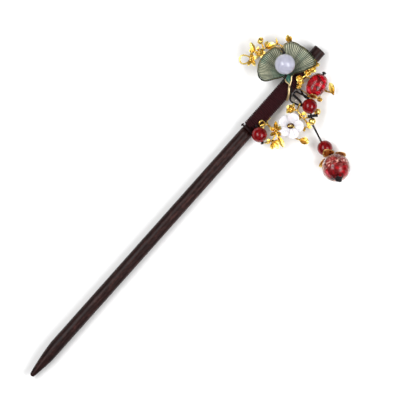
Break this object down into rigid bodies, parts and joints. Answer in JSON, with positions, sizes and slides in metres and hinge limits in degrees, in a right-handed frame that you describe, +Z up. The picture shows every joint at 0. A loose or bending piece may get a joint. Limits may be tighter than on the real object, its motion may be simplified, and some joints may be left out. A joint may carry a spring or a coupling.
{
  "type": "hair stick",
  "caption": "Straight tapered hair stick with a thread binding, an enamelled leaf, gilt blossom sprigs, stone and glass beads and a hanging bead drop.",
  "frame": {"origin": "on the stick's axis, just below the binding", "axes": "+X along the stick from its point to its head, +Y towards the leaf and spray, +Z up from the surface that it lies on"},
  "size_m": [0.18, 0.0666, 0.017],
  "materials": {
    "shaft": "dark lacquered wood, satin gloss",
    "binding": "maroon-brown silk thread, wound close",
    "tie": "dark thread",
    "leaf_frame": "thin gilt wire, soft shine",
    "enamel": "grey-green enamel with fine ribs",
    "white_stone": "polished lavender-white stone",
    "thread": "black waxed cord",
    "gilt": "bright gilt castings",
    "gilt_cap": "bright gilt petals",
    "gold_bead": "bright gilt bead",
    "red_stone": "polished deep red agate",
    "red_glass": "clear glass over a red core",
    "pink_glass": "clear glass over a red core with foil specks",
    "silver_wire": "pale silver-grey wire",
    "shell": "white carved shell"
  },
  "bodies": {
    "root": {"shaft": "shaft", "binding": "binding", "end_tie": "tie", "leaf_frame": "leaf_frame", "leaf_enamel": "enamel", "white_bead": "white_stone", "white_bead_thread": "thread", "spray": "gilt", "head_twig": "gilt", "glass_bead": "red_glass", "glass_bead_cap": "gilt_cap", "glass_bead_thread": "thread", "side_twig": "gilt", "upper_red_bead": "red_stone", "branch": "gilt", "branch_thread": "thread", "wire_ring": "silver_wire", "shell_flower": "shell", "lower_red_bead": "red_stone", "lower_bead_thread": "thread", "blossom": "gilt", "drop_thread": "thread", "gold_bead": "gold_bead", "drop_red_bead": "red_stone", "drop_cap": "gilt_cap", "drop_bead": "pink_glass"}
  },
  "joints": []
}
